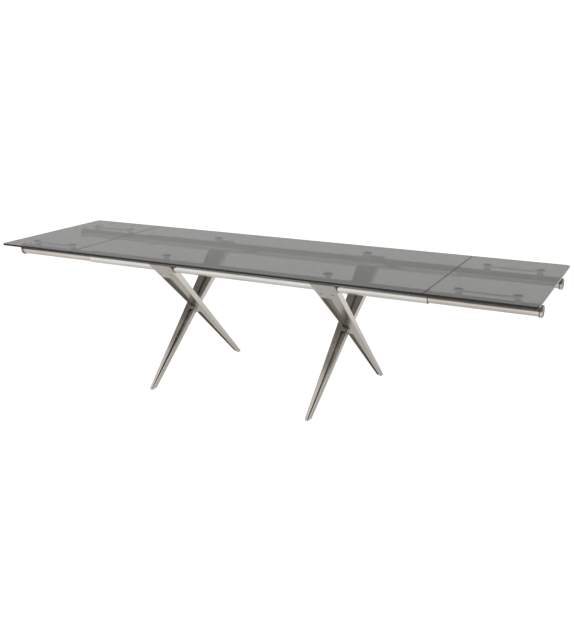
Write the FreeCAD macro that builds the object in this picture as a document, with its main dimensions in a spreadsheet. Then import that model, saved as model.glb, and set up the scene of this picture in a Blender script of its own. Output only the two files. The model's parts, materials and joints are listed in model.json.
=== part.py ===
"""Extendable glass dining table.

Frame: +X along the table, +Y to the rear, +Z up, origin on the floor under the middle of the top.
The table stands extended: both pairs of inner tubes are pulled out and a leaf lies on each pair.
"""
import FreeCAD, Part
import Sketcher
import math
import os
from FreeCAD import Placement, Rotation, Vector

doc = FreeCAD.newDocument("ExtendableTable")
sheet = doc.addObject("Spreadsheet::Sheet", "Sizes")

DRIVING_SIZES = [
    ("top_height", 740, "floor to the top of the glass"),
    ("top_depth", 860, "width of every pane, across the table"),
    ("centre_length", 2000, "length of the fixed pane"),
    ("overall_length", 3000, "length over both leaves"),
    ("seam_gap", 2, "gap between a leaf and the fixed pane"),
    ("glass_thickness", 10, "toughened glass"),
    ("outer_corner", 18, "corner radius of a leaf's free end"),
    ("inner_corner", 3, "corner radius at the seams"),
    ("glass_chamfer", 1, "ground edge of the glass"),
    ("rail_offset", 267, "rail axis from the middle plane"),
    ("rail_height", 678, "rail axis above the floor"),
    ("outer_radius", 28.5, "fixed tube, outside"),
    ("outer_bore", 25.5, "fixed tube, inside"),
    ("outer_half", 980, "middle of the table to the end of a fixed tube"),
    ("inner_radius", 24.2, "sliding tube, outside"),
    ("inner_bore", 21.7, "sliding tube, inside"),
    ("inner_tail", 523, "hidden end of a sliding tube, pulled out"),
    ("tube_stop", 1482, "visible end of a sliding tube, inside its cap"),
    ("running_gap", 0.3, "clearance of the sliding fits"),
    ("bush_length", 40, "length of a guide bush"),
    ("bush_flange", 1.5, "flange of a mouth bush outside its tube"),
    ("flange_radius", 28.2, "radius of that flange"),
    ("cap_end", 1495, "outer face of an end cap"),
    ("cap_face", 1483, "inner face of an end cap's head"),
    ("cap_round", 1, "rounding of an end cap's rims"),
    ("neck_start", 1474, "inner face of an end cap's neck"),
    ("neck_radius", 25.8, "neck of an end cap, outside"),
    ("spigot_start", 1450, "inner end of an end cap's spigot"),
    ("bumper_width", 3, "rubber ring behind an end cap's head"),
    ("disc_radius", 25.5, "inlay in an end cap"),
    ("disc_depth", 2.5, "depth of that inlay"),
    ("frame_offset", 474, "middle of a leg frame from the middle of the table"),
    ("leg_angle", 44.6, "slope of a leg, in degrees"),
    ("cheek_wall", 9, "leg face to fixed tube, where they are nearest"),
    ("liner_wall", 2, "plastic liner between a leg and its tube"),
    ("liner_inset", 6, "liner shorter than a leg's width, each side"),
    ("liner_drop", 16, "liner's edge above the point nearest to the tube"),
    ("head_at", -64, "station of a leg's top edge, along the leg from its tube"),
    ("cross_at", 398, "station where two legs cross"),
    ("tip_at", 950, "station past the floor"),
    ("pocket_at", 62, "station where the lower pocket starts"),
    ("bridge_half", 26, "half the solid length at the crossing"),
    ("thin_head", -69, "thin side of a leg, at its head"),
    ("thin_cross", -9.5, "thin side of a leg, at the crossing"),
    ("thin_tip", 41, "thin side of a leg, at its tip"),
    ("thick_head", 57, "thick side of a leg, at its head"),
    ("thick_cross", 60, "thick side of a leg, at the crossing"),
    ("thick_tip", 66, "thick side of a leg, at its tip"),
    ("bar_head", 1.5, "inner side of a leg's solid bar, at its head"),
    ("bar_cross", 25.2, "inner side of that bar, at the crossing"),
    ("bar_tip", 52.5, "inner side of that bar, at the tip"),
    ("strip_head", -45, "inner side of a leg's upper strip, at its head"),
    ("strip_cross", 0, "inner side of that strip, at the crossing"),
    ("strip_tip", 48, "inner side of that strip, at the tip"),
    ("deep_head", 42, "thickness of a leg, at its head"),
    ("deep_cross", 31, "thickness of a leg, at the crossing"),
    ("deep_tip", 20, "thickness of a leg, at its tip"),
    ("rim", 3.5, "rim beside the lower pocket"),
    ("pocket_share", 0.40, "lower pocket, share of a leg's thickness"),
    ("groove_share", 0.45, "upper groove, share of a leg's thickness"),
    ("leg_round", 2.5, "rounding of a leg's long edges"),
    ("pocket_round", 6, "corner radius of the pockets"),
    ("screw_at", 22, "station of the tube screws' heads"),
    ("screw_thin", -33, "tube screw near a leg's thin side"),
    ("screw_thick", 29, "tube screw near a leg's thick side"),
    ("screw_radius", 4, "tube screw, shank"),
    ("screw_head", 6.5, "tube screw, head"),
    ("screw_cap", 6, "height of that head"),
    ("screw_socket", 3, "radius and depth of the socket in that head"),
    ("screw_seat", 36.5, "tube axis to the seat of that head"),
    ("sink_gap", 0.8, "clearance round a sunk head"),
    ("bolt_radius", 5, "cross bolt, shank"),
    ("bolt_head", 8, "cross bolt, head"),
    ("bolt_cap", 8, "height of that head"),
    ("bolt_inset", 1, "cross bolt, head below the leg's face"),
    ("bolt_reach", 38, "cross bolt, reach past the lap"),
    ("glide_height", 6, "foot glide under a leg"),
    ("glide_length", 23, "foot glide, along Y"),
    ("glide_width", 17, "foot glide, along X"),
    ("glide_round", 4, "corner radius of a foot glide"),
    ("post_offset", 472, "glass post from the middle of the table"),
    ("post_disc", 24, "glass post, radius of its disc"),
    ("post_disc_height", 5, "glass post, height of its disc"),
    ("post_taper", 4, "glass post, height of the taper under its disc"),
    ("post_neck", 9, "glass post, radius of its neck"),
    ("post_foot", 15, "glass post, radius of its foot"),
    ("post_foot_height", 7, "glass post, foot above its tube's top"),
    ("post_skirt", 6, "glass post, foot below its tube's top"),
    ("pad_thickness", 1.5, "bonding pad between metal and glass"),
    ("stud_radius", 3, "stud between a post and its tube"),
    ("stud_reach", 14, "stud, height above the tube's bore"),
    ("leaf_pad_near", 1118, "leaf pad next to the seam"),
    ("leaf_pad_far", 1382, "leaf pad next to the free end"),
    ("leaf_disc", 21, "leaf pad, radius"),
    ("leaf_disc_height", 4.5, "leaf pad, height"),
    ("leaf_boss", 11, "leaf pad's boss, radius"),
    ("leaf_boss_height", 13, "leaf pad's boss, height under the disc"),
    ("leaf_bar_width", 12, "bar between two leaf pads, width"),
    ("leaf_bar_height", 7, "bar between two leaf pads, height"),
    ("saddle_radius", 16, "rubber saddle under a boss"),
    ("saddle_reach", 9, "rubber saddle, reach below the tube's top"),
]

for row, (alias, value, meaning) in enumerate(DRIVING_SIZES, start=1):
    sheet.set("A%d" % row, alias.replace("_", " "))
    sheet.set("B%d" % row, str(value))
    sheet.set("C%d" % row, meaning)
    sheet.setAlias("B%d" % row, alias)
doc.recompute()

SIZE = {alias: float(sheet.get(alias)) for alias, _, _ in DRIVING_SIZES}
ALONG_X = Rotation(Vector(0, 1, 0), 90)
SPARE = 20
SIDES = {"left": -1, "right": 1}
RAILS = {"front": -1, "rear": 1}
sub_parts = []


def size(alias):
    """Name a driving dimension inside an expression."""
    return "Sizes." + alias


def bind(item, **expressions):
    """Bind properties to the sheet: each value is an expression or a plain number."""
    for name, expression in expressions.items():
        item.setExpression(name, str(expression))
    return item


def place(item, x=0, y=0, z=0, turn=Rotation()):
    """Turn a piece, then bind its position to the sheet."""
    item.Placement = Placement(Vector(0, 0, 0), turn)
    for axis, expression in (("x", x), ("y", y), ("z", z)):
        item.setExpression("Placement.Base." + axis, str(expression))
    return item


def keep(item, label):
    """Register a finished sub-part under its node name."""
    item.Label = label
    sub_parts.append(item)
    return item


def cylinder(radius, height, name="Cylinder"):
    """Cylinder along its own Z axis."""
    return bind(doc.addObject("Part::Cylinder", name), Radius=radius, Height=height)


def box(length, width, height, name="Box"):
    """Box from its own lowest corner."""
    return bind(doc.addObject("Part::Box", name), Length=length, Width=width, Height=height)


def cut(base, tool, name="Cut"):
    """Base without tool."""
    item = doc.addObject("Part::Cut", name)
    item.Base = base
    item.Tool = tool
    return item


def common(base, tool, name="Common"):
    """What base and tool share."""
    item = doc.addObject("Part::Common", name)
    item.Base = base
    item.Tool = tool
    return item


def fuse(pieces, name="Fusion"):
    """One solid from several that touch."""
    item = doc.addObject("Part::MultiFuse", name)
    item.Shapes = pieces
    item.Refine = True
    return item


def group(pieces, name="Group"):
    """Separate solids in one sub-part."""
    item = doc.addObject("Part::Compound", name)
    item.Links = pieces
    return item


def round_edges(base, radius, chosen, name="Fillet"):
    """Round the edges of base that chosen(edge) picks, by one driving radius."""
    doc.recompute()
    item = doc.addObject("Part::Fillet", name)
    item.Base = base
    reach = SIZE[radius]
    item.Edges = [(number, reach, reach)
                  for number, edge in enumerate(base.Shape.Edges, start=1) if chosen(edge)]
    return item


def lies_along(edge, direction, cosine=0.95):
    """True for a straight edge that runs nearly along direction."""
    span = edge.Vertexes[-1].Point - edge.Vertexes[0].Point
    if span.Length < 1e-6:
        return False
    return abs(span.normalize().dot(direction)) > cosine


def origin_plane(body, role):
    """One of a body's own origin planes."""
    return [item for item in body.Origin.OriginFeatures if item.Role == role][0]


# ---------------------------------------------------------------- glass panes

def add_rectangle(sketch, length, width):
    """A centred rectangle whose two sizes are bound to the sheet."""
    corners = [Vector(-1, -1, 0), Vector(1, -1, 0), Vector(1, 1, 0), Vector(-1, 1, 0)]
    for start, end in zip(corners, corners[1:] + corners[:1]):
        sketch.addGeometry(Part.LineSegment(start * 100, end * 100), False)
    for side in range(4):
        sketch.addConstraint(Sketcher.Constraint("Coincident", side, 2, (side + 1) % 4, 1))
    for side, kind in enumerate(("Horizontal", "Vertical", "Horizontal", "Vertical")):
        sketch.addConstraint(Sketcher.Constraint(kind, side))
    sketch.addConstraint(Sketcher.Constraint("Symmetric", 0, 1, 1, 2, -1, 1))
    for line, name, expression in ((0, "Length", length), (1, "Width", width)):
        axis = "DistanceX" if line == 0 else "DistanceY"
        index = sketch.addConstraint(Sketcher.Constraint(axis, line, 1, line, 2, 200.0))
        sketch.renameConstraint(index, name)
        sketch.setExpression("Constraints." + name, expression)


def corner_edges(shape, side):
    """Names of a pane's sharp upright corners: on the +X or -X side, or on both for side 0."""
    bounds = shape.BoundBox
    return ["Edge%d" % number for number, edge in enumerate(shape.Edges, start=1)
            if lies_along(edge, Vector(0, 0, 1))
            and edge.CenterOfMass.x * side >= 0
            and abs(edge.CenterOfMass.x) > bounds.XMax - 0.01
            and abs(edge.CenterOfMass.y) > bounds.YMax - 0.01]


def glass_pane(label, length, middle, free_side):
    """A pane with ground edges; the free side's corners are rounder than the seam's."""
    body = doc.addObject("PartDesign::Body", "Pane")
    sketch = body.newObject("Sketcher::SketchObject", "PaneOutline")
    sketch.AttachmentSupport = (origin_plane(body, "XY_Plane"), [""])
    sketch.MapMode = "FlatFace"
    add_rectangle(sketch, length, size("top_depth"))
    pane = bind(body.newObject("PartDesign::Pad", "PaneThickness"), Length=size("glass_thickness"))
    pane.Profile = sketch
    doc.recompute()

    for radius, side in (("outer_corner" if free_side else "inner_corner", free_side),
                         ("inner_corner", -free_side)):
        corners = corner_edges(pane.Shape, side)
        if corners:
            fillet = bind(body.newObject("PartDesign::Fillet", "PaneCorners"), Radius=size(radius))
            fillet.Base = (pane, corners)
            pane = fillet
            doc.recompute()

    faces = ["Face%d" % number for number, face in enumerate(pane.Shape.Faces, start=1)
             if abs(face.normalAt(0, 0).z) > 0.99]
    ground = bind(body.newObject("PartDesign::Chamfer", "GroundEdges"), Size=size("glass_chamfer"))
    ground.Base = (pane, faces)
    body.Tip = ground
    place(body, x=middle, z="%s - %s" % (size("top_height"), size("glass_thickness")))
    return keep(body, label)


def glass_top():
    """The fixed pane and the two leaves."""
    glass_pane("centre_glass", size("centre_length"), "0", 0)
    leaf_length = "(%s - %s) / 2 - %s" % (size("overall_length"), size("centre_length"),
                                          size("seam_gap"))
    leaf_middle = "(%s + %s) / 4 + %s / 2" % (size("overall_length"), size("centre_length"),
                                              size("seam_gap"))
    for side, sign in SIDES.items():
        glass_pane(side + "_leaf_glass", leaf_length, "%d * (%s)" % (sign, leaf_middle), sign)


# ---------------------------------------------------------------- rails

def tube(radius, bore, length, name="Tube"):
    """Tube along its own X axis, from its own origin."""
    outside = place(cylinder(radius, length), turn=ALONG_X)
    inside = place(cylinder(bore, "%s + %d" % (length, 2 * SPARE)), x=-SPARE, turn=ALONG_X)
    return cut(outside, inside, name)


def radial_hole(radius, x, direction):
    """Drill for a tube wall: a cylinder from the tube's axis outwards."""
    drill = cylinder(radius, "2 * " + size("outer_radius"))
    return place(drill, x=x, turn=Rotation(Vector(0, 0, 1), direction))


def screw_direction(rail):
    """Direction from a tube's axis to the head of its leg screws, in the table's frame."""
    slope = math.radians(SIZE["leg_angle"])
    along = Vector(0, -rail * math.cos(slope), -math.sin(slope))
    outward = Vector(0, rail * math.sin(slope), -math.cos(slope))
    reach = SIZE["outer_radius"] + SIZE["cheek_wall"]
    return (along * SIZE["screw_at"] + outward * reach).normalize()


def fixed_tube(label, rail):
    """A fixed rail tube with its tapped holes for the leg screws and the post studs."""
    plain = tube(size("outer_radius"), size("outer_bore"), "2 * " + size("outer_half"))
    drills = []
    for sign in SIDES.values():
        middle = "%s + %d * %s" % (size("outer_half"), sign, size("frame_offset"))
        for screw in ("screw_thin", "screw_thick"):
            x = "%s + %d * %s" % (middle, -rail, size(screw))
            drills.append(radial_hole(size("screw_radius"), x, screw_direction(rail)))
        post = "%s + %d * %s" % (size("outer_half"), sign, size("post_offset"))
        drills.append(radial_hole(size("stud_radius"), post, Vector(0, 0, 1)))
    body = cut(plain, group(drills), "FixedTube")
    place(body, x="-" + size("outer_half"), y="%d * %s" % (rail, size("rail_offset")),
          z=size("rail_height"))
    return keep(body, label)


def mouth_bush(label, side, rail):
    """The flanged bush in a fixed tube's mouth, along X towards the middle."""
    bore = "%s + %s" % (size("inner_radius"), size("running_gap"))
    sleeve = place(cylinder(size("outer_bore"), size("bush_length")), turn=ALONG_X)
    flange = cylinder(size("flange_radius"), size("bush_flange"))
    place(flange, x=size("bush_length"), turn=ALONG_X)
    drill = cylinder(bore, "%s + %d" % (size("bush_length"), 2 * SPARE))
    place(drill, x=-SPARE, turn=ALONG_X)
    bush = cut(fuse([sleeve, flange]), drill, "MouthBush")
    turn = Rotation() if side > 0 else Rotation(Vector(0, 0, 1), 180)
    place(bush, x="%d * (%s - %s)" % (side, size("outer_half"), size("bush_length")),
          y="%d * %s" % (rail, size("rail_offset")), z=size("rail_height"), turn=turn)
    return keep(bush, label)


def on_rail(item, label, side, rail, x):
    """Put a round piece, modelled along +X, on one of the four rail ends."""
    turn = Rotation() if side > 0 else Rotation(Vector(0, 0, 1), 180)
    place(item, x="%d * (%s)" % (side, x), y="%d * %s" % (rail, size("rail_offset")),
          z=size("rail_height"), turn=turn)
    return keep(item, label)


def end_cap_body():
    """Turned end cap: head, neck round the tube, spigot inside it and a recess for the inlay."""
    def step(radius, start, end):
        piece = cylinder(radius, "%s - %s" % (end, start))
        return place(piece, x="%s - %s" % (start, size("spigot_start")), turn=ALONG_X)

    head = step(size("outer_radius"), size("cap_face"), size("cap_end"))
    neck = step(size("neck_radius"), size("neck_start"), size("cap_face"))
    seat = step(size("inner_radius"), size("neck_start"), size("tube_stop"))
    spigot = step(size("inner_bore"), size("spigot_start"), size("cap_face"))
    recess_start = "(%s - %s)" % (size("cap_end"), size("disc_depth"))
    recess = step(size("disc_radius"), recess_start, "(%s + 1)" % size("cap_end"))
    shell = cut(fuse([head, neck]), seat)
    return cut(fuse([shell, spigot]), recess, "EndCap")


def rail_end(side_name, rail_name):
    """One sliding tube with its tail bush, end cap, inlay and bumper, and its mouth bush."""
    side = SIDES[side_name]
    rail = RAILS[rail_name]
    name = side_name + "_" + rail_name

    mouth_bush(name + "_mouth_bush", side, rail)

    sliding = tube(size("inner_radius"), size("inner_bore"),
                   "(%s - %s)" % (size("tube_stop"), size("inner_tail")), "SlidingTube")
    on_rail(sliding, name + "_inner_tube", side, rail, size("inner_tail"))

    tail = tube("(%s - %s)" % (size("outer_bore"), size("running_gap")), size("inner_radius"),
                size("bush_length"), "TailBush")
    on_rail(tail, name + "_tail_bush", side, rail, size("inner_tail"))

    cap = round_edges(end_cap_body(), "cap_round", is_cap_rim, "RoundedCap")
    on_rail(cap, name + "_end_cap", side, rail, size("spigot_start"))

    inlay = place(cylinder(size("disc_radius"), size("disc_depth") + " - 0.5"), turn=ALONG_X)
    on_rail(group([inlay], "CapInlay"), name + "_cap_inlay", side, rail,
            "%s - %s" % (size("cap_end"), size("disc_depth")))

    bumper = tube(size("flange_radius"), size("neck_radius"), size("bumper_width"), "Bumper")
    on_rail(bumper, name + "_bumper_ring", side, rail,
            "%s - %s" % (size("cap_face"), size("bumper_width")))


def is_cap_rim(edge):
    """The two outer rims of an end cap's head."""
    circle = edge.Curve
    return isinstance(circle, Part.Circle) and abs(circle.Radius - SIZE["outer_radius"]) < 0.01


# ---------------------------------------------------------------- legs

def leg_frame():
    """Placement of a front leg's own frame: X across, Y down the leg, Z through its thickness.

    Its origin is on the leg's lower face, at the point nearest to the fixed tube.
    """
    slope = math.radians(SIZE["leg_angle"])
    reach = SIZE["outer_radius"] + SIZE["cheek_wall"]
    origin = Vector(0, -SIZE["rail_offset"] - reach * math.sin(slope),
                    SIZE["rail_height"] - reach * math.cos(slope))
    return Placement(origin, Rotation(Vector(1, 0, 0), -SIZE["leg_angle"]))


def at_station(line, station, upper):
    """Expression for a leg's tapering size at a station along it."""
    first, last = ("head", "cross") if upper else ("cross", "tip")
    start = "%s_%s" % (size(line), first)
    end = "%s_%s" % (size(line), last)
    from_at = size(first + "_at")
    to_at = size(last + "_at")
    return "(%s + (%s - %s) * ((%s) - %s) / (%s - %s))" % (start, end, start, station, from_at,
                                                           to_at, from_at)


def wedge(start, end, upper, low_side, high_side, bottom, top, name="Wedge"):
    """Tapering block between two stations: each side is a function of the station's expression."""
    item = doc.addObject("Part::Wedge", name)
    bind(item, Ymin=start, Ymax=end,
         Xmin=low_side(start, upper), Xmax=high_side(start, upper),
         Zmin=bottom(start, upper), Zmax=top(start, upper),
         X2min=low_side(end, upper), X2max=high_side(end, upper),
         Z2min=bottom(end, upper), Z2max=top(end, upper))
    return item


def thin_side(station, upper):
    return at_station("thin", station, upper)


def thick_side(station, upper):
    return at_station("thick", station, upper)


def bar_side(station, upper):
    return at_station("bar", station, upper)


def strip_side(station, upper):
    return at_station("strip", station, upper)


def rim_side(station, upper):
    return "(%s + %s)" % (thin_side(station, upper), size("rim"))


def lower_face(station, upper):
    return "0"


def upper_face(station, upper):
    return at_station("deep", station, upper)


def pocket_floor(station, upper):
    return "(%s * %s)" % (upper_face(station, upper), size("pocket_share"))


def groove_floor(station, upper):
    return "(%s * (1 - %s))" % (upper_face(station, upper), size("groove_share"))


def below_face(station, upper):
    return str(-SPARE)


def above_face(station, upper):
    return "(%s + %d)" % (upper_face(station, upper), SPARE)


def leg_blank():
    """The tapering bar that a leg is shaped from, with its long edges rounded."""
    halves = []
    for start, end, upper in ((size("head_at"), size("cross_at"), True),
                              (size("cross_at"), size("tip_at"), False)):
        half = wedge(start, end, upper, thin_side, thick_side, lower_face, upper_face, "Blank")
        halves.append(round_edges(half, "leg_round",
                                  lambda edge: lies_along(edge, Vector(0, 1, 0))))
    return fuse(halves, "LegBlank")


def leg_recesses():
    """Pocket in the lower face and groove in the upper face, above and below the crossing."""
    bridge_start = "(%s - %s)" % (size("cross_at"), size("bridge_half"))
    bridge_end = "(%s + %s)" % (size("cross_at"), size("bridge_half"))
    depth_axis = Vector(0, 0, 1)
    recesses = []
    for start, end, upper in ((size("pocket_at"), bridge_start, True),
                              (bridge_end, size("tip_at"), False)):
        pocket = wedge(start, end, upper, rim_side, bar_side, below_face, pocket_floor, "Pocket")
        groove = wedge(start, end, upper, strip_side, bar_side, groove_floor, above_face, "Groove")
        recesses.append(round_edges(pocket, "pocket_round",
                                    lambda edge, first=upper: is_pocket_corner(edge, first)))
        recesses.append(groove)
    return recesses


def is_pocket_corner(edge, upper):
    """The corners of a pocket, seen on the leg's face; the lower pocket runs out at the tip."""
    if not lies_along(edge, Vector(0, 0, 1), 0.999):
        return False
    return upper or edge.CenterOfMass.y < SIZE["tip_at"] - 1


def head_clearance():
    """Room above the tube's seat, which leaves only the cheek in front of the tube."""
    reach = SIZE["outer_radius"] + SIZE["cheek_wall"]
    seat_radius = SIZE["outer_radius"] + SIZE["liner_wall"]
    shoulder = -SIZE["liner_wall"] * 5
    depth = reach - math.sqrt(seat_radius ** 2 - shoulder ** 2)
    room = box(400, 200, 100, "HeadRoom")
    return place(room, x=-200, y=shoulder - 200, z=depth)


def tube_seat(radius, length=400):
    """Cylinder along the fixed tube, in a leg's own frame."""
    reach = "%s + %s" % (size("outer_radius"), size("cheek_wall"))
    return place(cylinder(radius, str(length)), x=-length / 2, z=reach, turn=ALONG_X)


def screw_step(x, radius, near, far):
    """Cylinder on a tube screw's axis, between two distances from the tube's axis."""
    reach = SIZE["outer_radius"] + SIZE["cheek_wall"]
    direction = Vector(0, SIZE["screw_at"], -reach).normalize()
    piece = cylinder(radius, "(%s) - (%s)" % (far, near))
    turn = Rotation(Vector(0, 0, 1), direction)
    along = "(%s) * %.9f"
    return place(piece, x=x, y=along % (near, direction.y),
                 z="%s + %s + %s" % (size("outer_radius"), size("cheek_wall"),
                                     along % (near, direction.z)), turn=turn)


def screw_holes():
    """Clearance holes and sunk seats for a leg's two tube screws."""
    holes = []
    for screw in ("screw_thin", "screw_thick"):
        holes.append(screw_step(size(screw), size("screw_radius"), size("outer_bore"),
                                size("screw_seat")))
        holes.append(screw_step(size(screw), "(%s + %s)" % (size("screw_head"), size("sink_gap")),
                                size("screw_seat"), "(%s + %d)" % (size("screw_seat"), SPARE)))
    return holes


def crossing_height():
    """Height of the crossing's middle above the floor, and of the cross bolt."""
    slope = math.radians(SIZE["leg_angle"])
    face = leg_frame().Base.z + leg_frame().Base.y * math.tan(slope)
    return face + SIZE["deep_cross"] / 2 / math.cos(slope)


def bolt_steps(shank_radius, head_radius, head_reach):
    """Shank and head of a cross bolt, in a leg frame's own axes at the table's middle."""
    shank = cylinder(shank_radius, "%s + %s - %s" % (size("thick_cross"), size("bolt_reach"),
                                                      size("bolt_cap")))
    place(shank, x="%s - %s" % (size("bolt_cap"), size("thick_cross")), z=crossing_height(),
          turn=ALONG_X)
    head = cylinder(head_radius, "%s - %s + %s" % (size("bolt_cap"), size("bolt_inset"), head_reach))
    place(head, x="%s - %s - %s" % (size("bolt_inset"), size("thick_cross"), head_reach),
          z=crossing_height(), turn=ALONG_X)
    return [shank, head]


def lap_cutter(own, side):
    """The other leg's blank on one side of the lap, in this leg's own frame."""
    other = leg_blank()
    other.Placement = own.inverse() * Placement(Vector(), Rotation(Vector(0, 0, 1), 180)) * own
    half = place(box(300, 1600, 400), x=0 if side > 0 else -300, y=-500, z=-200)
    return common(other, half, "LapCutter")


def leg(label, side, rail):
    """One cast leg, from a rail's head to the foot under the other rail."""
    own = leg_frame()
    floor = box(400, 400, 200, "Floor")
    floor.Placement = own.inverse() * Placement(Vector(-200, 200, SIZE["glide_height"] - 200),
                                                Rotation())
    # the bolt comes in from the side that the other leg keeps, so a front leg holds its thread
    bolt = group(bolt_steps(size("bolt_radius"), "(%s + %s)" % (size("bolt_head"),
                                                                  size("sink_gap")), SPARE))
    if rail > 0:
        bolt_place = own.inverse() * Placement(Vector(), Rotation(Vector(0, 0, 1), 180))
    else:
        bolt_place = own.inverse()
    bolt.Placement = bolt_place
    seat = tube_seat("(%s + %s)" % (size("outer_radius"), size("liner_wall")))
    tools = leg_recesses() + screw_holes() + [head_clearance(), seat, lap_cutter(own, -1), floor,
                                              bolt]
    body = leg_blank()
    for tool in tools:
        body = cut(body, tool, "Leg")
    middle = Placement(Vector(side * SIZE["frame_offset"], 0, 0),
                       Rotation(Vector(0, 0, 1), 0 if rail < 0 else 180))
    body.Placement = middle * own
    return keep(body, label)


def tube_liner(label, side, rail):
    """Plastic liner between a leg's seat and the fixed tube."""
    own = leg_frame()
    ring = cut(tube_seat("(%s + %s)" % (size("outer_radius"), size("liner_wall"))),
               tube_seat(size("outer_radius"), 440))
    width = "%s - %s - 2 * %s" % (size("thick_head"), size("thin_head"), size("liner_inset"))
    span = place(box(width, "2 * " + size("outer_radius"), size("outer_radius")),
                 x="%s + %s" % (size("thin_head"), size("liner_inset")), y="-" + size("liner_drop"))
    body = common(ring, span, "Liner")
    for drill in screw_holes():
        body = cut(body, drill, "Liner")
    middle = Placement(Vector(side * SIZE["frame_offset"], 0, 0),
                       Rotation(Vector(0, 0, 1), 0 if rail < 0 else 180))
    body.Placement = middle * own
    return keep(body, label)


def leg_screws():
    """The eight socket screws that hold the legs to the fixed tubes."""
    own = leg_frame()
    screws = []
    for side in SIDES.values():
        for rail in RAILS.values():
            for screw in ("screw_thin", "screw_thick"):
                shank = screw_step(size(screw), size("screw_radius"),
                                   "(%s + 0.2)" % size("outer_bore"), size("screw_seat"))
                top = "(%s + %s)" % (size("screw_seat"), size("screw_cap"))
                head = screw_step(size(screw), size("screw_head"), size("screw_seat"), top)
                socket = screw_step(size(screw), size("screw_socket"),
                                    "%s - %s" % (top, size("screw_socket")), top + " + 1")
                piece = cut(fuse([shank, head]), socket, "LegScrew")
                middle = Placement(Vector(side * SIZE["frame_offset"], 0, 0),
                                   Rotation(Vector(0, 0, 1), 0 if rail < 0 else 180))
                piece.Placement = middle * own
                screws.append(piece)
    return keep(group(screws, "LegScrews"), "leg_screws")


def cross_bolt(label, side):
    """The bolt that clamps two legs together where they cross."""
    bolt = fuse(bolt_steps(size("bolt_radius"), size("bolt_head"), 0), "CrossBolt")
    place(bolt, x="%d * %s" % (side, size("frame_offset")))
    return keep(bolt, label)


def foot_glide(label, side, rail):
    """Plastic glide under a leg's foot."""
    slope = math.radians(SIZE["leg_angle"])
    own = leg_frame()
    face = own.Base.y + own.Base.z / math.tan(slope)
    foot_y = face + SIZE["deep_tip"] / 2 / math.sin(slope)
    foot_x = (SIZE["thin_tip"] + SIZE["thick_tip"]) / 2
    pad = box(size("glide_width"), size("glide_length"), size("glide_height"), "Glide")
    rounded = round_edges(pad, "glide_round", lambda edge: lies_along(edge, Vector(0, 0, 1)))
    x = "%d * %s + %.3f - %s / 2" % (side, size("frame_offset"), -rail * foot_x,
                                     size("glide_width"))
    y = "%.3f - %s / 2" % (-rail * foot_y, size("glide_length"))
    place(rounded, x=x, y=y)
    return keep(rounded, label)


# ---------------------------------------------------------------- glass supports

def glass_post(label, side, rail):
    """Turned post on a fixed tube that carries the fixed pane."""
    top = "(%s - %s - %s)" % (size("top_height"), size("glass_thickness"), size("pad_thickness"))
    tube_top = "(%s + %s)" % (size("rail_height"), size("outer_radius"))
    rise = "(%s - %s)" % (top, tube_top)
    disc_start = "%s - %s" % (rise, size("post_disc_height"))
    foot = cylinder(size("post_foot"), "%s + %s" % (size("post_foot_height"), size("post_skirt")))
    place(foot, z="-" + size("post_skirt"))
    neck = cylinder(size("post_neck"), disc_start)
    disc = place(cylinder(size("post_disc"), size("post_disc_height")), z=disc_start)
    taper = doc.addObject("Part::Cone", "Taper")
    bind(taper, Radius1=size("post_neck"), Radius2=size("post_foot"), Height=size("post_taper"))
    place(taper, z="%s - %s" % (disc_start, size("post_taper")))
    turned = fuse([foot, neck, taper, disc])
    seat = place(cylinder(size("outer_radius"), "200"), x=-100, z="-" + size("outer_radius"),
                 turn=ALONG_X)
    stud = place(cylinder(size("stud_radius"), size("stud_reach")),
                 z="%s - %s" % (size("outer_bore"), size("outer_radius")))
    post = cut(cut(turned, seat), stud, "GlassPost")
    place(post, x="%d * %s" % (side, size("post_offset")),
          y="%d * %s" % (rail, size("rail_offset")), z=tube_top)
    return keep(post, label)


def at_posts(make, label):
    """One group of equal pieces, one on each glass post."""
    pieces = []
    for side in SIDES.values():
        for rail in RAILS.values():
            x = "%d * %s" % (side, size("post_offset"))
            y = "%d * %s" % (rail, size("rail_offset"))
            pieces.append(make(x, y))
    return keep(group(pieces), label)


def post_pad(x, y):
    """Bonding pad between a post's disc and the fixed pane."""
    pad = cylinder(size("post_disc"), size("pad_thickness"), "PostPad")
    return place(pad, x=x, y=y, z="%s - %s - %s" % (size("top_height"), size("glass_thickness"),
                                                    size("pad_thickness")))


def post_stud(x, y):
    """Threaded stud from a fixed tube's wall into its post."""
    stud = cylinder(size("stud_radius"), size("stud_reach") + " - 0.2", "PostStud")
    return place(stud, x=x, y=y, z="%s + %s + 0.2" % (size("rail_height"), size("outer_bore")))


def leaf_heights():
    """Expressions for the heights of a leaf support: pad's underside, disc's, boss's."""
    glass = "(%s - %s)" % (size("top_height"), size("glass_thickness"))
    pad = "(%s - %s)" % (glass, size("pad_thickness"))
    disc = "(%s - %s)" % (pad, size("leaf_disc_height"))
    boss = "(%s - %s)" % (disc, size("leaf_boss_height"))
    return pad, disc, boss


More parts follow.
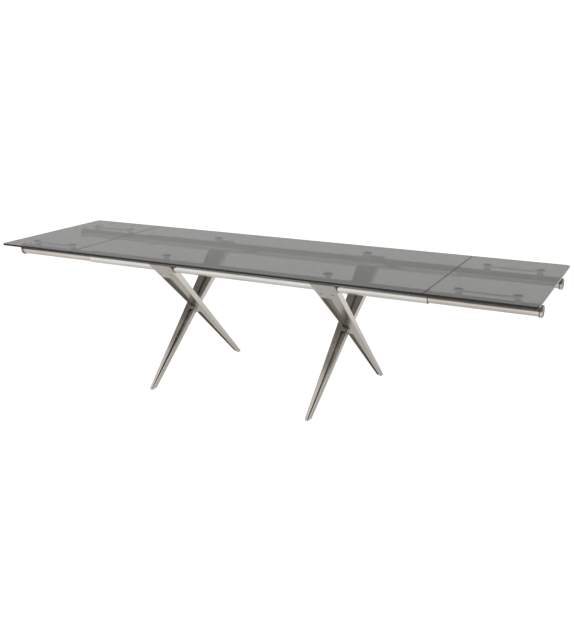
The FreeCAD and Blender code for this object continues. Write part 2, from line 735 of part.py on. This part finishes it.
def leaf_bar(label, side, rail):
    """Bar with two bosses and two discs that is bonded under a leaf, along its rail."""
    pad, disc, boss = leaf_heights()
    y = "%d * %s" % (rail, size("rail_offset"))
    pieces = []
    for station in ("leaf_pad_near", "leaf_pad_far"):
        x = "%d * %s" % (side, size(station))
        pieces.append(place(cylinder(size("leaf_disc"), size("leaf_disc_height")), x, y, disc))
        pieces.append(place(cylinder(size("leaf_boss"), size("leaf_boss_height") + " + 1"),
                            x, y, boss))
    span = "(%s - %s)" % (size("leaf_pad_far"), size("leaf_pad_near"))
    low = "%d * %s" % (side, size("leaf_pad_near" if side > 0 else "leaf_pad_far"))
    bar = box(span, size("leaf_bar_width"), size("leaf_bar_height"), "LeafBar")
    pieces.append(place(bar, low, "%s - %s / 2" % (y, size("leaf_bar_width")),
                        "%s - %s - 1" % (disc, size("leaf_bar_height"))))
    return keep(fuse(pieces, "LeafBar"), label)


def at_leaf_pads(make, label, side):
    """One group of equal pieces, one at each of a leaf's four pads."""
    pieces = []
    for rail in RAILS.values():
        for station in ("leaf_pad_near", "leaf_pad_far"):
            x = "%d * %s" % (side, size(station))
            pieces.append(make(x, "%d * %s" % (rail, size("rail_offset"))))
    return keep(group(pieces), label)


def leaf_pad(x, y):
    """Bonding pad between a leaf's disc and its glass."""
    return place(cylinder(size("leaf_disc"), size("pad_thickness"), "LeafPad"), x, y,
                 leaf_heights()[0])


def leaf_saddle(x, y):
    """Rubber saddle that a leaf stands on, hollowed to sit on the sliding tube."""
    boss = leaf_heights()[2]
    tube_top = "(%s + %s)" % (size("rail_height"), size("inner_radius"))
    low = "(%s - %s)" % (tube_top, size("saddle_reach"))
    block = place(cylinder(size("saddle_radius"), "%s - %s" % (boss, low)), x, y, low)
    room = cylinder("%s + %s" % (size("inner_radius"), size("running_gap")), "200")
    place(room, "%s - 100" % x, y, size("rail_height"), turn=ALONG_X)
    return cut(block, room, "LeafSaddle")


# ---------------------------------------------------------------- assembly

def build():
    """Every sub-part of the table, in place."""
    glass_top()
    for rail_name, rail in RAILS.items():
        fixed_tube(rail_name + "_outer_tube", rail)
    for side_name, side in SIDES.items():
        cross_bolt(side_name + "_cross_bolt", side)
        at_leaf_pads(leaf_pad, side_name + "_leaf_pads", side)
        at_leaf_pads(leaf_saddle, side_name + "_leaf_saddles", side)
        for rail_name, rail in RAILS.items():
            name = side_name + "_" + rail_name
            rail_end(side_name, rail_name)
            leg(name + "_leg", side, rail)
            tube_liner(name + "_tube_liner", side, rail)
            foot_glide(name + "_leg_glide", side, rail)
            glass_post(name + "_glass_post", side, rail)
            leaf_bar(name + "_leaf_bar", side, rail)
    leg_screws()
    at_posts(post_pad, "post_pads")
    at_posts(post_stud, "post_studs")
    doc.recompute()


def check():
    """Stop on any object that failed and on any sub-part without a sound shape."""
    for item in doc.Objects:
        if "Invalid" in item.State or "Error" in item.State:
            raise RuntimeError("%s (%s) failed: %s" % (item.Name, item.Label, item.State))
    for item in sub_parts:
        if item.Shape.isNull() or not item.Shape.isValid():
            raise RuntimeError("%s has no sound shape" % item.Label)
        print("%-26s solids %d  volume %10.0f" % (item.Label, len(item.Shape.Solids),
                                                  item.Shape.Volume))


def write():
    """One STEP file for each sub-part."""
    os.makedirs("parts", exist_ok=True)
    for item in sub_parts:
        item.Shape.exportStep("parts/%s.step" % item.Label)


build()
check()
write()
print("%d sub-parts" % len(sub_parts))
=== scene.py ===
"""Extendable glass dining table: materials, fine pieces, studio and camera, in metres.

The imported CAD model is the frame. +X runs along the table, +Y to the rear, +Z up.
"""
import json
import math

import bmesh
import bpy
from mathutils import Matrix, Vector


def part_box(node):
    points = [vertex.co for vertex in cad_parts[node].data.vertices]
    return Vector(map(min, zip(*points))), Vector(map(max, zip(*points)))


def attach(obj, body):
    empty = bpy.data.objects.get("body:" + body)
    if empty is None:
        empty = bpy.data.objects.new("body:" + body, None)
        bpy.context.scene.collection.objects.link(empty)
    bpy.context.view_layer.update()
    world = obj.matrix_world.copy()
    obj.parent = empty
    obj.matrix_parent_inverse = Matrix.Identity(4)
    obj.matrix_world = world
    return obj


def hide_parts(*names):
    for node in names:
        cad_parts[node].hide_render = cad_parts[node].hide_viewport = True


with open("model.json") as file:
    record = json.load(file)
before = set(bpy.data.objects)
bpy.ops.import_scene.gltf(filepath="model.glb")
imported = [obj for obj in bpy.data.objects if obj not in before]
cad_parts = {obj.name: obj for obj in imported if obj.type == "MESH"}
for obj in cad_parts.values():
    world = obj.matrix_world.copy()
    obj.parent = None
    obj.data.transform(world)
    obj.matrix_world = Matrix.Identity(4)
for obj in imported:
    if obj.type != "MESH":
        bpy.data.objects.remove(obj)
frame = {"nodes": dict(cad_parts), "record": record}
bpy.context.view_layer.update()

SIDES = {"left": -1, "right": 1}
RAILS = {"front": -1, "rear": 1}
MM = 0.001

# the fixed tubes' axes, from the frame
TUBE_LOW, TUBE_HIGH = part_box("rear_outer_tube")
RAIL_Y = (TUBE_LOW.y + TUBE_HIGH.y) / 2
RAIL_Z = (TUBE_LOW.z + TUBE_HIGH.z) / 2

# a leg: its slope, the point of its outer face nearest its tube's axis, its thickness there and
# how much thinner it gets for each unit of its length
LEG_SLOPE = math.radians(44.6)
LEG_Y = -293.33 * MM
LEG_Z = 651.30 * MM
LEG_THICKNESS = 40.5 * MM
LEG_TAPER = 0.0218


# ---------------------------------------------------------------- shader helpers

class Shader:
    """A material's or a world's node tree, with short ways to add nodes and to link them."""

    def __init__(self, name, world=None):
        self.material = bpy.data.materials.new(name) if world is None else None
        owner = world or self.material
        owner.use_nodes = True
        self.tree = owner.node_tree
        self.tree.nodes.clear()
        self.output = self.tree.nodes.new(
            "ShaderNodeOutputMaterial" if world is None else "ShaderNodeOutputWorld")

    def add(self, kind, inputs=None, **settings):
        """A node with its settings and inputs; an input is a value or another node's output."""
        node = self.tree.nodes.new(kind)
        for name, value in settings.items():
            setattr(node, name, value)
        for name, value in (inputs or {}).items():
            if isinstance(value, bpy.types.NodeSocket):
                self.tree.links.new(value, node.inputs[name])
            else:
                node.inputs[name].default_value = value
        return node

    def place(self, scale=(1, 1, 1), turn=(0, 0, 0)):
        """The surface point in the piece's own metres, turned and scaled."""
        here = self.add("ShaderNodeTexCoord").outputs["Object"]
        return self.add("ShaderNodeMapping", {"Vector": here, "Scale": scale, "Rotation": turn},
                        vector_type="TEXTURE").outputs["Vector"]

    def noise(self, vector, scale, detail=2.0, roughness=0.5):
        """Noise from 0 to 1."""
        return self.add("ShaderNodeTexNoise", {"Vector": vector, "Scale": scale, "Detail": detail,
                                               "Roughness": roughness}).outputs["Fac"]

    def spread(self, value, low, high, start=0.3, end=0.7):
        """A value between start and end, spread to between low and high."""
        return self.add("ShaderNodeMapRange", {"Value": value, "From Min": start, "From Max": end,
                                               "To Min": low, "To Max": high}).outputs["Result"]

    def math(self, operation, first, second=0.0):
        """One step of arithmetic."""
        return self.add("ShaderNodeMath", {0: first, 1: second}, operation=operation).outputs[0]

    def between(self, share, first, second):
        """A number between two."""
        return self.add("ShaderNodeMix", {0: share, 2: first, 3: second},
                        data_type="FLOAT").outputs[0]

    def blend(self, share, first, second):
        """A colour between two."""
        return self.add("ShaderNodeMix", {0: share, 6: first, 7: second},
                        data_type="RGBA").outputs[2]

    def bump(self, height, distance):
        """A surface that height moves by up to distance metres."""
        return self.add("ShaderNodeBump", {"Height": height, "Distance": distance,
                                           "Strength": 1.0}).outputs["Normal"]

    def show(self, node):
        """Make a node the surface."""
        self.tree.links.new(node.outputs[0], self.output.inputs["Surface"])

    def surface(self, **inputs):
        """The Principled shader as the surface; underscores in names stand for spaces."""
        node = self.add("ShaderNodeBsdfPrincipled",
                        {name.replace("_", " "): value for name, value in inputs.items()})
        self.show(node)
        return node


def tint(red, green, blue):
    """A colour given as it looks on a screen, from 0 to 255, as linear light."""
    def linear(level):
        share = level / 255
        return share / 12.92 if share <= 0.04045 else ((share + 0.055) / 1.055) ** 2.4
    return (linear(red), linear(green), linear(blue), 1.0)


# ---------------------------------------------------------------- materials

# glass: colours seen through its body and its edges, the light it lets through as shade, and the
# Z of a normal above which a face is a level one
GLASS_BODY = (0.180, 0.180, 0.165, 1.0)
GLASS_EDGE = (0.0010, 0.0011, 0.0010, 1.0)
GLASS_SHADE = (0.75, 0.75, 0.74, 1.0)
GLASS_INDEX = 1.52
LEVEL_FACE = 0.98

# castings: colours of the shade painted on pocket floors and into corners, how far a corner's
# painted shade reaches, and where pocket floors lie, as shares of the leg's thickness, and face,
# against its outward direction
POCKET_PAINTED_SHADE = (0.32, 0.30, 0.28, 1.0)
CORNER_PAINTED_SHADE = (0.20, 0.185, 0.17, 1.0)
CORNER_REACH = 20 * MM
POCKET_MIDDLE = 0.48
POCKET_REACH = 0.25
POCKET_FACING = -0.9

TURNED_DULL = (150, 145, 140)


def smoked_glass():
    """Toughened float glass, smoke grey through its body, with fine-ground, nearly black edges."""
    shader = Shader("smoked glass")
    normal = shader.add("ShaderNodeNewGeometry").outputs["True Normal"]
    upright = shader.math("ABSOLUTE", shader.add("ShaderNodeSeparateXYZ", {0: normal}).outputs[2])
    ground = shader.math("LESS_THAN", upright, LEVEL_FACE)
    grind = shader.noise(shader.place(), 900, 3.0)
    roller_wave = shader.noise(shader.place((1.0, 0.35, 1.0)), 3.0, 1.0)
    height = shader.math("ADD", shader.math("MULTIPLY", roller_wave, 0.9),
                         shader.math("MULTIPLY", grind, shader.math("MULTIPLY", ground, 0.1)))
    pane = shader.surface(Base_Color=shader.blend(ground, GLASS_BODY, GLASS_EDGE),
                          IOR=GLASS_INDEX, Transmission_Weight=1.0,
                          Specular_IOR_Level=shader.spread(ground, 0.5, 0.12, 0.0, 1.0),
                          Roughness=shader.math("MULTIPLY", ground,
                                                shader.spread(grind, 0.02, 0.10)),
                          Normal=shader.bump(height, 0.00002))
    thin = shader.add("ShaderNodeBsdfTransparent", {"Color": GLASS_SHADE})
    lit = shader.add("ShaderNodeLightPath").outputs["Is Shadow Ray"]
    shader.show(shader.add("ShaderNodeMixShader",
                           {0: lit, 1: pane.outputs[0], 2: thin.outputs[0]}))
    return shader.material


def drawn_metal(name, colour, dull, polish):
    """Tube drawn along X: fine lines along it and faint clouds in its polish."""
    shader = Shader(name)
    lines = shader.noise(shader.place((8.0, 1.0, 1.0)), 700, 4.0, 0.7)
    clouds = shader.noise(shader.place((3.0, 1.0, 1.0)), 22, 3.0)
    shader.surface(Base_Color=shader.blend(shader.spread(clouds, 0.0, 1.0), dull, colour),
                   Metallic=1.0,
                   Roughness=shader.math("ADD", shader.spread(lines, polish, polish * 1.6),
                                         shader.spread(clouds, 0.0, 0.03)),
                   Normal=shader.bump(lines, 0.000004))
    return shader.material


def turned_metal(name, colour, polish):
    """Turned round the rail's axis: rings of fine tool marks."""
    shader = Shader(name)
    here = shader.add("ShaderNodeSeparateXYZ", {0: shader.place()})
    across = shader.math("SUBTRACT", shader.math("ABSOLUTE", here.outputs[1]), RAIL_Y)
    above = shader.math("SUBTRACT", here.outputs[2], RAIL_Z)
    radius = shader.math("SQRT", shader.math("ADD", shader.math("MULTIPLY", across, across),
                                             shader.math("MULTIPLY", above, above)))
    ring_point = shader.add("ShaderNodeCombineXYZ", {0: here.outputs[0], 1: radius}).outputs[0]
    marks = shader.noise(ring_point, 1800, 3.0, 0.6)
    clouds = shader.noise(shader.place(), 60, 2.0)
    shader.surface(Base_Color=shader.blend(shader.spread(clouds, 0.0, 0.25), colour,
                                           tint(*TURNED_DULL)),
                   Metallic=1.0, Roughness=shader.spread(marks, polish, polish + 0.08),
                   Normal=shader.bump(marks, 0.000006))
    return shader.material


def recess_floor(shader, rail):
    """1 on the floors of a leg's pockets, 0 on its other faces; shade is painted there and
    roughness raised.
    """
    here = shader.add("ShaderNodeSeparateXYZ", {0: shader.place()})
    facing = shader.add("ShaderNodeSeparateXYZ", {
        0: shader.add("ShaderNodeNewGeometry").outputs["True Normal"]})

    def turned_sum(y_share, z_share, parts, y=0.0, z=0.0):
        """How far parts go from (y, z) in the direction with these shares of Y and Z."""
        mirrored = shader.math("MULTIPLY", parts.outputs[1], float(-rail))
        along_y = shader.math("MULTIPLY", shader.math("SUBTRACT", mirrored, y), y_share)
        along_z = shader.math("MULTIPLY", shader.math("SUBTRACT", parts.outputs[2], z), z_share)
        return shader.math("ADD", along_y, along_z)

    sine, cosine = math.sin(LEG_SLOPE), math.cos(LEG_SLOPE)
    depth = turned_sum(sine, cosine, here, LEG_Y, LEG_Z)
    station = turned_sum(cosine, -sine, here, LEG_Y, LEG_Z)
    thinner = shader.math("MULTIPLY", station, LEG_TAPER)
    share = shader.math("DIVIDE", depth, shader.math("SUBTRACT", LEG_THICKNESS, thinner))
    off_middle = shader.math("ABSOLUTE", shader.math("SUBTRACT", share, POCKET_MIDDLE))
    inside = shader.math("LESS_THAN", off_middle, POCKET_REACH)
    flat = shader.math("LESS_THAN", turned_sum(sine, cosine, facing), POCKET_FACING)
    return shader.math("MULTIPLY", inside, flat)


def cast_metal(name, colour, rail):
    """Satin casting, sanded along the leg, rougher on its pocket floors, with shade painted on
    those floors and into its corners.
    """
    shader = Shader(name)
    lean = rail * LEG_SLOPE
    sanding = shader.noise(shader.place((1.0, 20.0, 1.0), (lean, 0, 0)), 420, 3.0, 0.6)
    clouds = shader.noise(shader.place((1.0, 3.0, 1.0), (lean, 0, 0)), 9, 3.0)
    # painted shade: ambient occlusion darkens the casting's colour in its corners and creases
    openness = shader.add("ShaderNodeAmbientOcclusion", {"Distance": CORNER_REACH}, samples=8,
                          only_local=True).outputs["AO"]
    open_share = shader.spread(openness, 0.0, 1.0, 0.20, 0.75)
    darker = tuple(channel * 0.90 for channel in colour[:3]) + (1.0,)
    faces = shader.blend(shader.spread(clouds, 0.0, 1.0), darker, colour)
    # painted shade: the pocket floors get a darker colour; they are also made rougher
    sunk = recess_floor(shader, rail)
    faces = shader.blend(shader.math("MULTIPLY", sunk, 0.85), faces, POCKET_PAINTED_SHADE)
    rougher = shader.math("ADD", shader.spread(sanding, 0.0, 0.03),
                          shader.math("MULTIPLY", sunk, 0.10))
    shader.surface(Base_Color=shader.blend(open_share, CORNER_PAINTED_SHADE, faces), Metallic=1.0,
                   Roughness=shader.math("ADD", shader.spread(clouds, 0.20, 0.27), rougher),
                   Normal=shader.bump(sanding, 0.000002))
    return shader.material


def moulded(name, colour, gloss, grain_depth):
    """Rubber or plastic with a moulded grain."""
    shader = Shader(name)
    grain = shader.noise(shader.place(), 1300, 2.0)
    patches = shader.noise(shader.place(), 45, 3.0)
    worn = tuple(min(1.0, channel * 1.5 + 0.01) for channel in colour[:3]) + (1.0,)
    shader.surface(Base_Color=shader.blend(shader.spread(patches, 0.0, 0.6), colour, worn),
                   Roughness=shader.spread(grain, gloss, gloss + 0.15),
                   Normal=shader.bump(grain, grain_depth))
    return shader.material


MATERIALS = {
    "smoked_glass": smoked_glass(),
    "polished_tube": drawn_metal("polished tube", tint(243, 241, 237), tint(232, 229, 224), 0.07),
    "sliding_tube": drawn_metal("sliding tube", tint(226, 219, 210), tint(212, 205, 196), 0.07),
    "turned_cap": turned_metal("turned cap", tint(226, 216, 206), 0.12),
    "satin_support": turned_metal("satin support", tint(232, 230, 226), 0.22),
    "steel_fastener": turned_metal("steel fastener", tint(238, 237, 234), 0.08),
    "front_cast_leg": cast_metal("cast leg, front", tint(214, 209, 201), -1),
    "rear_cast_leg": cast_metal("cast leg, rear", tint(214, 209, 201), 1),
    "clear_pad": moulded("clear pad", tint(236, 237, 233), 0.30, 0.00002),
    "black_rubber": moulded("black rubber", tint(34, 33, 32), 0.55, 0.00004),
    "black_plastic": moulded("black plastic", tint(30, 29, 28), 0.35, 0.00002),
    "pale_plastic": moulded("pale plastic", tint(226, 226, 222), 0.35, 0.00002),
    "soft_saddle": moulded("soft saddle", tint(186, 185, 181), 0.45, 0.00003),
    "dark_inlay": moulded("dark inlay", tint(84, 74, 66), 0.30, 0.00002),
}


def dress(node, finish):
    """Give a CAD node one of the materials."""
    for slot in frame["nodes"][node].material_slots:
        slot.material = MATERIALS[finish]


def dress_frame():
    """Materials for every CAD node, from its slot in the record."""
    for part in frame["record"]["subparts"]:
        node, finish = part["node"], part["material_slot"]
        if finish == "cast_leg":
            finish = "front_cast_leg" if "_front_" in node else "rear_cast_leg"
        elif node.endswith("_end_cap"):
            finish = "turned_cap"
        elif node.endswith("_leaf_saddles"):
            finish = "soft_saddle"
        dress(node, finish)


# ---------------------------------------------------------------- fine pieces

FRAME_OFFSET = 474 * MM
SCREW_STATIONS = (-33 * MM, 29 * MM)
SCREW_ALONG = 22 * MM
SCREW_OUT = 37.5 * MM
SCREW_SEAT = 36.5 * MM
BOLT_CAP = 8 * MM
DOME_STEPS = 7
SHARP_ANGLE = math.radians(35)

# a cap inlay, in millimetres: its rim, its face, and the groove in the face
INLAY_RADIUS = 25.4
INLAY_FACE = 2.0
GROOVE_OUTER = 22.4
GROOVE_INNER = 21.0
GROOVE_FLOOR = 1.5
BEVEL = 0.3


def screw_direction(rail):
    """From a fixed tube's axis to the head of its leg screws."""
    along = Vector((0, -rail * math.cos(LEG_SLOPE), -math.sin(LEG_SLOPE)))
    outward = Vector((0, rail * math.sin(LEG_SLOPE), -math.cos(LEG_SLOPE)))
    return (along * SCREW_ALONG + outward * SCREW_OUT).normalized()


def plain(angle):
    """A round ring."""
    return 1.0


def hexagon(angle):
    """A six-sided ring; its radius is half the width across its flats."""
    return 1.0 / math.cos(angle % (math.pi / 3) - math.pi / 6)


def knurl(angle):
    """A ring with rolled grip lines."""
    return 0.99 + 0.01 * math.cos(32 * angle)


def turned(build, place, profile, steps=96):
    """Turn a profile of (radius, height, ring shape), in millimetres, about place's Z."""
    rings = []
    for radius, height, shape in profile:
        ring = []
        for step in range(steps):
            angle = math.tau * step / steps
            reach = radius * shape(angle) * MM
            ring.append(build.verts.new(place @ Vector(
                (reach * math.cos(angle), reach * math.sin(angle), height * MM))))
        rings.append(ring)
    for low, high in zip(rings, rings[1:]):
        for step in range(steps):
            after = (step + 1) % steps
            build.faces.new((low[step], low[after], high[after], high[step]))
    build.faces.new(list(reversed(rings[0])))
    build.faces.new(rings[-1])


def fine_piece(name, build, body, finish, nodes):
    """A finished mesh that rides on a body and stands for CAD nodes."""
    mesh = bpy.data.meshes.new(name)
    build.to_mesh(mesh)
    build.free()
    mesh.materials.append(MATERIALS[finish])
    for face in mesh.polygons:
        face.use_smooth = True
    mesh.set_sharp_from_angle(angle=SHARP_ANGLE)
    piece = bpy.data.objects.new(name, mesh)
    bpy.context.scene.collection.objects.link(piece)
    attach(piece, body)
    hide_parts(*nodes)


def socket_screw(shank, tip, head, cap, key, depth):
    """Profile of a domed socket screw, in millimetres, with its seat at zero.

    shank and head are radii, tip and cap the heights of its two ends, key half the socket's
    width across its flats and depth the socket's.
    """
    crown = key * 1.3
    dome = [(crown + (head - crown) * math.cos(turn), cap * (0.4 + 0.6 * math.sin(turn)), plain)
            for turn in (math.pi / 2 * step / DOME_STEPS for step in range(DOME_STEPS + 1))]
    return [(shank * 0.8, tip, plain), (shank, tip + shank * 0.2, plain), (shank, 0, plain),
            (head, 0, plain), (head, cap * 0.10, knurl), (head, cap * 0.30, knurl)] + dome + [
            (key * 1.18, cap - 0.25, plain), (key, cap - 0.45, hexagon),
            (key, cap - depth, hexagon), (key * 0.15, cap - depth - key * 0.4, plain)]


def leg_screws():
    """Two socket screws through each leg into its fixed tube."""
    build = bmesh.new()
    for side in SIDES:
        middle = SIDES[side] * FRAME_OFFSET
        for rail in RAILS.values():
            for station in SCREW_STATIONS:
                axis = Matrix.Translation((middle - rail * station, rail * RAIL_Y, RAIL_Z))
                lean = Vector((0, 0, 1)).rotation_difference(screw_direction(rail)).to_matrix()
                turned(build, axis @ lean.to_4x4() @ Matrix.Translation((0, 0, SCREW_SEAT)),
                       socket_screw(shank=4, tip=-10.8, head=6.5, cap=6, key=2.5, depth=3))
    fine_piece("fine_leg_screws", build, "table_frame", "steel_fastener", ["leg_screws"])


def cross_bolts():
    """A socket bolt through each crossing, its head on the left."""
    for side in SIDES:
        node = side + "_cross_bolt"
        low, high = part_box(node)
        middle = (low + high) / 2
        seat = Matrix.Translation((low.x + BOLT_CAP, middle.y, middle.z))
        tip = (low.x + BOLT_CAP - high.x) / MM
        build = bmesh.new()
        turned(build, seat @ Matrix.Rotation(math.radians(-90), 4, "Y"),
               socket_screw(shank=5, tip=tip, head=8, cap=BOLT_CAP / MM, key=4, depth=5))
        fine_piece("fine_" + node, build, "table_frame", "steel_fastener", [node])


def cap_inlays():
    """A turned disc with a groove and a dished middle in each end cap."""
    rim = [(INLAY_RADIUS - 0.5, 0), (INLAY_RADIUS, 0.4), (INLAY_RADIUS, INLAY_FACE - BEVEL),
           (INLAY_RADIUS - BEVEL, INLAY_FACE)]
    groove = [(GROOVE_OUTER, INLAY_FACE), (GROOVE_OUTER - BEVEL, GROOVE_FLOOR),
              (GROOVE_INNER + BEVEL, GROOVE_FLOOR), (GROOVE_INNER, INLAY_FACE)]
    dish = [(17.0, 1.9), (9.0, 1.5), (3.0, 1.35), (0.6, 1.3)]
    profile = [(radius, height, plain) for radius, height in rim + groove + dish]
    for side in SIDES:
        for rail in RAILS:
            node = side + "_" + rail + "_cap_inlay"
            low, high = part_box(node)
            inner = low.x if SIDES[side] > 0 else high.x
            base = Matrix.Translation((inner, RAILS[rail] * RAIL_Y, RAIL_Z))
            build = bmesh.new()
            turned(build, base @ Matrix.Rotation(math.radians(90 * SIDES[side]), 4, "Y"), profile)
            fine_piece("fine_" + node, build, side + "_" + rail + "_slider", "dark_inlay", [node])


# ---------------------------------------------------------------- studio

# levels of light from the walls, from a window low at the left front, from the cove above them,
# from the ceiling, and from the backdrop that the camera sees instead of all of these
WALL_LEFT = 0.45
WALL_RIGHT = 1.05
WALL_BEHIND = 0.58
WALL_FRONT = 0.25
WINDOW = 1.10
COVE = 0.12
CEILING = 0.85
BACKDROP = 1.05

# directions: the X where the window is full and where it ends, the Z where the walls turn into
# cove, and the Z where the ceiling starts and where it is full
WINDOW_FULL = -0.60
WINDOW_NONE = -0.20
COVE_FOOT_FRONT = 0.06
COVE_FOOT_BEHIND = 0.42
COVE_BLEND = 0.16
CEILING_NONE = 0.66
CEILING_FULL = 0.80

# the floor's light where it is looked at, and in reflections: under the table, where the table's
# shadow is painted in as a dimmer glow, beside it, and what it loses far in front; then the
# distances in Y over which these change
FLOOR_SEEN = 0.95
FLOOR_PAINTED_SHADOW = 0.47
FLOOR_BESIDE = 0.87
FLOOR_LOSS = 0.35
UNDER_REACH = 0.35
BESIDE_REACH = 2.2
LOSS_STARTS = -1.5
LOSS_FULL = -4.0
FLOOR_SIZE = 9.0
FLOOR_DROP = 0.5 * MM
FLOOR_TONES = ((0.28, 0.28, 0.28, 1.0), (0.30, 0.30, 0.30, 1.0))
WARM_WHITE = (1.0, 0.993, 0.985, 1.0)


def studio_floor():
    """Plain pale floor that glows evenly where it is looked at and more dully in reflections, with
    the table's shadow painted into that duller glow.
    """
    shader = Shader("studio floor")
    speckle = shader.noise(shader.place(), 30, 2.0)
    matt = shader.add("ShaderNodeBsdfDiffuse", {"Color": shader.blend(speckle, *FLOOR_TONES)})
    path = shader.add("ShaderNodeLightPath")
    looked_at = shader.math("MAXIMUM", path.outputs["Is Camera Ray"],
                            path.outputs["Is Transmission Ray"])
    across = shader.add("ShaderNodeSeparateXYZ", {0: shader.place()}).outputs[1]
    # painted shadow: in reflections the floor glows less under the table, as if lying in its
    # shadow
    beside = shader.spread(shader.math("ABSOLUTE", across), FLOOR_PAINTED_SHADOW, FLOOR_BESIDE,
                           UNDER_REACH, BESIDE_REACH)
    lost = shader.spread(across, FLOOR_LOSS, 0.0, LOSS_FULL, LOSS_STARTS)
    mirrored = shader.math("SUBTRACT", beside, lost)
    glow = shader.add("ShaderNodeEmission", {
        "Color": WARM_WHITE, "Strength": shader.between(looked_at, mirrored, FLOOR_SEEN)})
    shader.show(shader.add("ShaderNodeAddShader", {0: matt.outputs[0], 1: glow.outputs[0]}))

    sheet = bpy.data.meshes.new("studio_floor")
    build = bmesh.new()
    bmesh.ops.create_grid(build, x_segments=8, y_segments=8, size=FLOOR_SIZE)
    build.to_mesh(sheet)
    build.free()
    sheet.materials.append(shader.material)
    floor = bpy.data.objects.new("studio_floor", sheet)
    floor.location.z = -FLOOR_DROP
    bpy.context.scene.collection.objects.link(floor)


def studio_world():
    """Surround: uneven walls, a window low at the left front, a dark cove and a ceiling."""
    world = bpy.data.worlds.new("studio")
    shader = Shader("studio", world)
    direction = shader.add("ShaderNodeTexCoord").outputs["Generated"]
    x, y, z = shader.add("ShaderNodeSeparateXYZ", {0: direction}).outputs
    ends = shader.spread(x, WALL_LEFT, WALL_RIGHT, -0.8, 0.8)
    facing = shader.math("ABSOLUTE", y)
    front = shader.math("LESS_THAN", y, 0.0)
    window = shader.spread(x, WINDOW, WALL_FRONT, WINDOW_FULL, WINDOW_NONE)
    depth = shader.between(front, WALL_BEHIND, window)
    wall = shader.math("ADD", shader.math("MULTIPLY", depth, facing),
                       shader.math("MULTIPLY", ends, shader.math("SUBTRACT", 1.0, facing)))
    cove_foot = shader.spread(y, COVE_FOOT_FRONT, COVE_FOOT_BEHIND, -0.2, 0.2)
    cove = shader.spread(shader.math("SUBTRACT", z, cove_foot), 0.0, 1.0, 0.0, COVE_BLEND)
    overhead = shader.spread(z, COVE, CEILING, CEILING_NONE, CEILING_FULL)
    level = shader.math("ADD", shader.math("MULTIPLY", wall, shader.math("SUBTRACT", 1.0, cove)),
                        shader.math("MULTIPLY", overhead, cove))
    seen = shader.add("ShaderNodeLightPath").outputs["Is Camera Ray"]
    shader.show(shader.add("ShaderNodeBackground", {
        "Color": (1.0, 1.0, 1.0, 1.0), "Strength": shader.between(seen, level, BACKDROP)}))
    bpy.context.scene.world = world


def soft_box(name, place, target, width, depth, power):
    """A large area light that looks at a point."""
    lamp = bpy.data.lights.new(name, "AREA")
    lamp.shape = "RECTANGLE"
    lamp.size = width
    lamp.size_y = depth
    lamp.energy = power
    holder = bpy.data.objects.new(name, lamp)
    holder.location = place
    holder.rotation_euler = (Vector(target) - Vector(place)).to_track_quat("-Z", "Y").to_euler()
    bpy.context.scene.collection.objects.link(holder)


# the camera as it was solved from the photo; its sensor and lens in millimetres
CAMERA_PLACE = (2.0234, -3.7756, 1.6662)
CAMERA_TURN = (73.037, 0.130, 26.790)
CAMERA_SENSOR = 36.0
CAMERA_LENS = 45.435


def studio_camera():
    """The camera that sees the table from its right front, as the photo does."""
    lens = bpy.data.cameras.new("studio_camera")
    lens.sensor_fit = "AUTO"
    lens.sensor_width = CAMERA_SENSOR
    lens.lens = CAMERA_LENS
    holder = bpy.data.objects.new("studio_camera", lens)
    holder.location = CAMERA_PLACE
    holder.rotation_euler = tuple(math.radians(angle) for angle in CAMERA_TURN)
    bpy.context.scene.collection.objects.link(holder)
    bpy.context.scene.camera = holder


def studio():
    """Floor, surround, light, camera and plain colour handling."""
    studio_floor()
    studio_world()
    soft_box("key_light", place=(-2.2, -3.2, 3.4), target=(0, 0, 0.4), width=3.0, depth=1.2,
             power=12.0)
    studio_camera()
    bpy.context.scene.view_settings.view_transform = "Standard"


dress_frame()
leg_screws()
cross_bolts()
cap_inlays()
studio()
